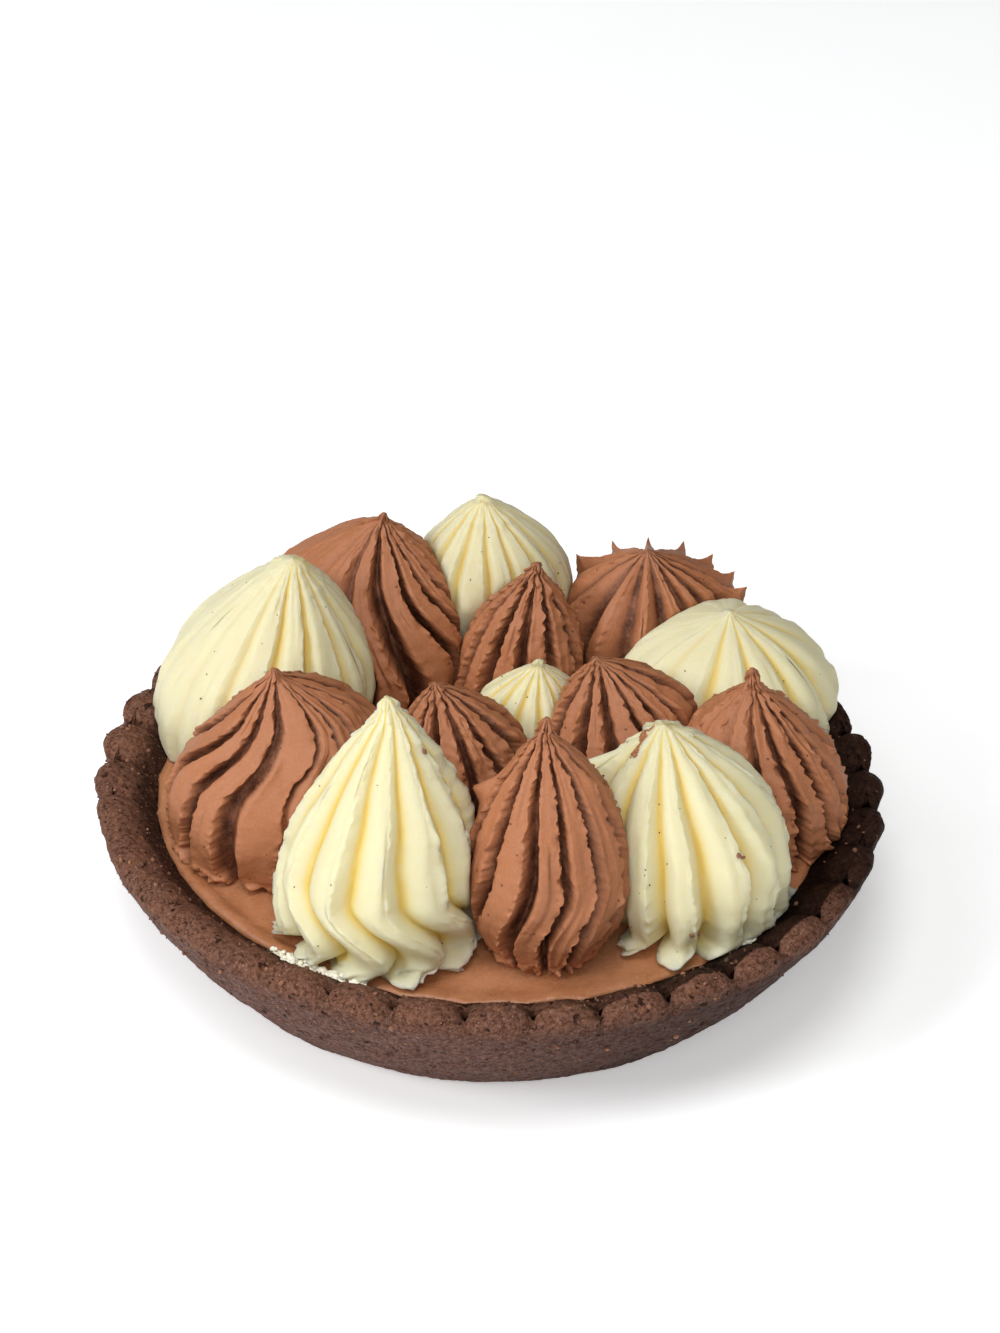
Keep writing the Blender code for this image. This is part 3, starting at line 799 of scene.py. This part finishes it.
def rosette_shape(rosette):
    """The rosette's rings, and how deep in a groove each point lies, which sets the painted groove shade."""
    turn, fin, place = fin_columns(rosette)
    step = np.linspace(0, 1, round(rosette.height * RINGS_PER_MM[rosette.cream]))
    level = 0.75 * step + 0.25 * (1 - np.cos(math.pi * step)) / 2
    level, turn = np.meshgrid(level, turn, indexing="ij")
    fin, place = np.broadcast_to(fin, level.shape), np.broadcast_to(place, level.shape)
    seed = rosette.base[0]
    up = level * rosette.height
    nothing = np.zeros_like(level)
    fin_line = np.stack([fin * 9.7 + seed, up, nothing], -1)

    # Each fin wanders a little, and the edges beside its groove are torn.
    from_crest = np.minimum(place, 1 - place)
    at_edge = np.exp(-((from_crest / 0.07) ** 2)) + 0.5 * np.exp(-(((place - rosette.valley) / 0.07) ** 2))
    wander = math.radians(3.0) * grain(fin_line, 6.0, 2) * ease((1 - level) * 4)
    body = np.maximum(outline(rosette, level, turn), 1.0)
    jag = rosette.ragged * at_edge * (0.22 * grain(fin_line, 0.9, 8) + 0.20 * grain(fin_line, 0.42, 9)) / body
    angle = turn + sweep(rosette, level) + wander + jag

    # The grooves, which are deeper at the foot and run out at the tip, and the dished land beside them.
    valley = valley_depth(rosette, place)
    plain = plain_share(rosette, level, angle)
    deeper = 1 + rosette.foot_groove * np.clip(1 - level / 0.22, 0, 1)
    depth = rosette.groove * (1 - plain) * valley * deeper * ease((1 - level) / 0.12)
    on_land = np.clip((place - rosette.valley) / (1 - rosette.valley), 0, 1)
    depth = depth + LAND_DISH[rosette.cream] * 4 * on_land * (1 - on_land) * (1 - plain)

    # The radius, with torn and crimped edges and a torn foot, as far as the neighbours leave it free.
    own_fin = np.stack([fin * 1.3 + seed, level * 3, nothing], -1)
    uneven = 1 + FIN_UNEVENNESS * grain(own_fin, 1.0)
    swell = 1 + 0.03 * grain(round_the_axis(turn, level * 3, 2, seed), 1.0, 4)
    torn = rosette.ragged * at_edge * (0.30 * grain(fin_line, 2.2) + 0.26 * grain(fin_line, 0.6, 5))
    folds = grain(fin_line, 1.9, 6) + 0.5 * grain(fin_line, 0.8, 7)
    crimps = rosette.ruffle * facing(angle, rosette.ruffle_at) * folds * (1 - 0.6 * valley)
    own = outline(rosette, level, angle) * (1 - depth) * uneven * swell
    own = own + (torn + crimps) * np.clip((1 - level) * 7, 0.25, 1)
    tear = grain(round_the_axis(turn, up * 1.2, 11, seed), 1.0, 14) + 0.6 * grain(fin_line, 0.7, 15)
    own = own + rosette.torn_foot * tear * ease((0.09 - level) / 0.06)
    spread = 1 + 0.8 * grain(np.stack([fin * 5.1 + seed, nothing, nothing], -1), 1.0, 6)
    own = own + rosette.flare * spread * (1 - valley) * np.exp(-(((level - 0.03) / 0.05) ** 2))
    radius = np.maximum(soft_minimum(own, free_reach(rosette, level, angle)), 0.03)
    for tab in rosette.tabs:
        radius = radius + tab_reach(tab, level, angle)

    # The drawn-out tip, and lumps below it.
    drawn = 1 - (rosette.spire + TIP_LENGTH) / rosette.height
    along = np.clip((level - drawn) / (1 - drawn), 0, 1)
    lumpy = 1 + 0.7 * grain(round_the_axis(turn, up * 1.2, 1.5, seed), 1.0, 3)
    scrap = rosette.nub * lumpy * (1.4 - 0.7 * along) * np.sqrt(1 - along**6)
    scrap = scrap * (1 - 0.4 * valley * (1 - along))
    radius = np.where(level > drawn, np.maximum(radius, scrap), radius)
    lumps = 0.45 * grain(fin_line * (0.3, 1, 1), 0.9, 12)
    radius = radius + lumps * ease((level - 0.78) / 0.15) * ease((1 - level) / 0.05)

    # Each point's place, with spikes drawn up from the fins, a rounded base and a grainy surface.
    height = FILLING_TOP - SINK + level * (rosette.height + SINK)
    if rosette.spikes:
        length = rosette.spikes[-1]
        drawn_up = spike_share(rosette, level, angle, from_crest, fin_line)
        height = height + length * drawn_up
        radius = radius + 0.7 * length * drawn_up
    rounded_base = 1 - 0.12 * np.clip(1 - level / 0.04, 0, 1) ** 2
    centre = centre_line(rosette, level) + heading(angle) * (radius * rounded_base)[..., None]
    points = np.concatenate([centre, height[..., None]], -1)
    rough = SURFACE_GRAIN[rosette.cream]
    shift = rough * grain(points, 1.1, seed) + 0.6 * rough * grain(points, 0.45, seed)
    points[..., :2] += heading(angle) * (shift * np.clip((1 - level) * 8, 0, 1))[..., None]
    # The groove attribute, the mask of the painted groove shade, is strongest in deep grooves.
    groove = (valley * (1 - plain)) ** (1 + 4 * max(0, rosette.valley - 0.5))
    return points, groove * min(1, rosette.groove / FULL_SHADE_DEPTH)


def make_rosette(rosette, material):
    rings, groove = rosette_shape(rosette)
    bottom = (*rosette.base, FILLING_TOP - SINK)
    top = (*rings[-1, :, :2].mean(0), FILLING_TOP + rosette.height + 0.1)
    # The groove attribute carries the painted shade in the grooves.
    piece = closed_body(rosette.name + "_cream", rings, bottom, top, material, {"groove": groove})
    add_piece(piece, rosette.cream + "_cream", rosette.name)
    return rings


# ---------------------------------------------------------------- crumbs, specks and smears

SPECKS_PER_ROSETTE = 34
SCRAPS_PER_PLACE = 9
CRUMB_TRIES = 1500
CRUMB_HEIGHT, CRUMB_RADIUS = 1.5, 44  # crumbs lie above and outside these
LOW_WALL, LOW_WALL_MISSES = 17, 0.45  # below this height, this share of the crumbs is left out
CLEAN_SIDE, CLEAN_WIDTH, CLEAN_MISSES = 90, 50, 0.75  # the azimuth and half-width of a side with few crumbs
SMEAR_RADIUS, SMEAR_HEIGHT = 43.3, 17.4

# Where bits have strayed. Pale cream lies along arcs of the filling's edge, as (from, to) angles. Brown
# cream and crumbs lie on a rosette, given as its name, an angle and a level, and for a crumb its radius
# in millimetres too.
CREAM_ARCS = ((-37, -19), (44, 50))
CARAMEL_STREAK = [
    ("rosette_vanilla_2", angle, 0.97 - 0.0022 * (angle + 110)) for angle in range(-104, -62, 3)
]
CRUMBS_ON_CREAM = (
    ("rosette_vanilla_2", 32, 0.58, 0.55), ("rosette_vanilla_2", 35, 0.57, 0.4),
    ("rosette_vanilla_2", 0, 0.23, 0.5), ("rosette_vanilla_2", 4, 0.22, 0.45),
    ("rosette_vanilla_5", -10, 0.45, 0.3), ("rosette_vanilla_1", 60, 0.8, 0.3),
)


def lump_template():
    """The points and faces of a small ball of radius 1."""
    bm = bmesh.new()
    bmesh.ops.create_icosphere(bm, subdivisions=1, radius=1)
    points = np.array([vertex.co for vertex in bm.verts])
    faces = np.array([[vertex.index for vertex in face.verts] for face in bm.faces])
    bm.free()
    return points, faces


class Scatter:
    """Many small lumps, joined in one mesh."""

    def __init__(self, seed):
        self.rng = random.Random(seed)
        self.template, self.template_faces = lump_template()
        self.points, self.faces, self.tones, self.count = [], [], [], 0

    def add(self, centre, size, tone, uneven=0.25, flat=None, flatness=1.0):
        """A lump with this centre and radius in millimetres. flat is a normal along which it is thinner."""
        spin = self.rng.uniform(0, math.tau)
        axes = np.array(Matrix.Rotation(spin, 3, Vector([self.rng.gauss(0, 1) for _ in range(3)])))
        shape = self.template * [1 + uneven * self.rng.uniform(-1, 1) for _ in range(3)]
        jitter = [1 + 0.6 * uneven * self.rng.uniform(-1, 1) for _ in shape]
        shape = (shape * np.array(jitter)[:, None]) @ axes.T * size
        if flat is not None:
            flat = np.asarray(flat) / np.linalg.norm(flat)
            shape = shape - np.outer(shape @ flat, flat) * (1 - flatness)
        self.points.append(shape + centre)
        self.faces.append(self.template_faces + self.count)
        self.tones.append(np.full(len(shape), tone))
        self.count += len(shape)

    def build(self, name, material, slot):
        faces = np.concatenate(self.faces).tolist()
        piece = object_from_arrays(
            name, np.concatenate(self.points), faces, material, {"tone": np.concatenate(self.tones)}
        )
        add_piece(piece, slot)


def ring_normals(rings):
    """Outward unit normals of a body's rings."""
    around = np.roll(rings, -1, axis=1) - np.roll(rings, 1, axis=1)
    upward = np.gradient(rings, axis=0)
    normal = np.cross(around, upward)
    return normal / np.maximum(np.linalg.norm(normal, axis=-1, keepdims=True), 1e-9)


def make_vanilla_specks(shapes):
    """Ground vanilla seeds in the pale cream."""
    specks = Scatter(seed=11)
    for rosette in ROSETTES:
        if rosette.cream != "vanilla":
            continue
        rings = shapes[rosette.name]
        normals = ring_normals(rings)
        for _ in range(SPECKS_PER_ROSETTE):
            row = specks.rng.randrange(8, len(rings) - 14)
            column = specks.rng.randrange(rings.shape[1])
            centre = rings[row, column] - 0.03 * normals[row, column]
            specks.add(centre, specks.rng.uniform(0.07, 0.17), specks.rng.random() ** 2, 0.3)
    material = tone_material("vanilla_speck", colour(0.03, 0.022, 0.015), colour(0.30, 0.22, 0.09), 0.6)
    specks.build("vanilla_specks", material, "vanilla_cream")


def surface_point(rings, angle, level):
    """The point of a rosette at an angle and a level, and its normal."""
    row = round(level * (len(rings) - 1))
    off = rings[row, :, :2] - rings[row, :, :2].mean(0)
    column = (off @ heading(math.radians(angle)) / np.linalg.norm(off, axis=1)).argmax()
    return rings[row, column], ring_normals(rings)[row, column]


def make_smears(shapes, creams):
    """Scraps of cream where the nozzle touched the filling's edge and a neighbour."""
    pale = Scatter(seed=31)
    for start, end in CREAM_ARCS:
        for angle in np.arange(start, end, 0.12):
            size = pale.rng.uniform(0.15, 0.6)
            place = heading(math.radians(angle)) * (SMEAR_RADIUS + pale.rng.gauss(0, 0.45))
            centre = (*place, SMEAR_HEIGHT + pale.rng.gauss(0, 0.14))
            pale.add(centre, size, pale.rng.random(), 0.4, (0, 0, 1), 0.6)
    # Painted light: the smears get a paler copy of the vanilla cream, so that the thin scraps look as bright
    # as lit cream.
    brightened_cream = tone_material("vanilla_smear", colour(0.84, 0.80, 0.62), colour(0.92, 0.89, 0.76), 0.5)
    pale.build("vanilla_smears", brightened_cream, "vanilla_cream")
    brown = Scatter(seed=37)
    for name, angle, level in CARAMEL_STREAK:
        for _ in range(SCRAPS_PER_PLACE):
            near = angle + brown.rng.gauss(0, 2), level + brown.rng.gauss(0, 0.006)
            point, normal = surface_point(shapes[name], *near)
            brown.add(point, brown.rng.uniform(0.16, 0.34), 0, 0.4, normal, 0.5)
    brown.build("caramel_smears", creams["caramel"], "caramel_cream")


def make_pastry_crumbs(case_rings, shapes):
    """Crumbs on the rim and the wall, and a few on the cream."""
    crumbs = Scatter(seed=23)
    normals = ring_normals(case_rings)
    heights = case_rings[:, 0, 2]
    radii = np.linalg.norm(case_rings[:, 0, :2], axis=-1)
    rows = [row for row in np.nonzero(heights > CRUMB_HEIGHT)[0] if radii[row] > CRUMB_RADIUS]
    for _ in range(CRUMB_TRIES):
        row = crumbs.rng.choice(rows)
        if heights[row] < LOW_WALL and crumbs.rng.random() < LOW_WALL_MISSES:
            continue
        column = crumbs.rng.randrange(TURN_STEPS)
        azimuth = column / TURN_STEPS * 360 - 180
        if abs(azimuth - CLEAN_SIDE) < CLEAN_WIDTH and crumbs.rng.random() < CLEAN_MISSES:
            continue
        size = 0.10 + 0.26 * crumbs.rng.random() ** 3
        normal = normals[row, column]
        crumbs.add(case_rings[row, column] + 0.25 * size * normal, size, crumbs.rng.random() ** 2.2, 0.35)
    for name, angle, level, size in CRUMBS_ON_CREAM:
        point, normal = surface_point(shapes[name], angle, level)
        crumbs.add(point + 0.2 * size * normal, size, 0.8, 0.4, normal, 0.6)
    material = tone_material("pastry_crumb", colour(0.07, 0.03, 0.02), colour(0.34, 0.15, 0.08), 0.85)
    crumbs.build("pastry_crumbs", material, "pastry")


def main():
    make_camera()
    make_lights()
    make_floor()
    case_rings = make_case(pastry_material())
    make_filling(filling_material())
    creams = {"vanilla": vanilla_material(), "caramel": caramel_material()}
    shapes = {rosette.name: make_rosette(rosette, creams[rosette.cream]) for rosette in ROSETTES}
    make_vanilla_specks(shapes)
    make_smears(shapes, creams)
    make_pastry_crumbs(case_rings, shapes)


main()
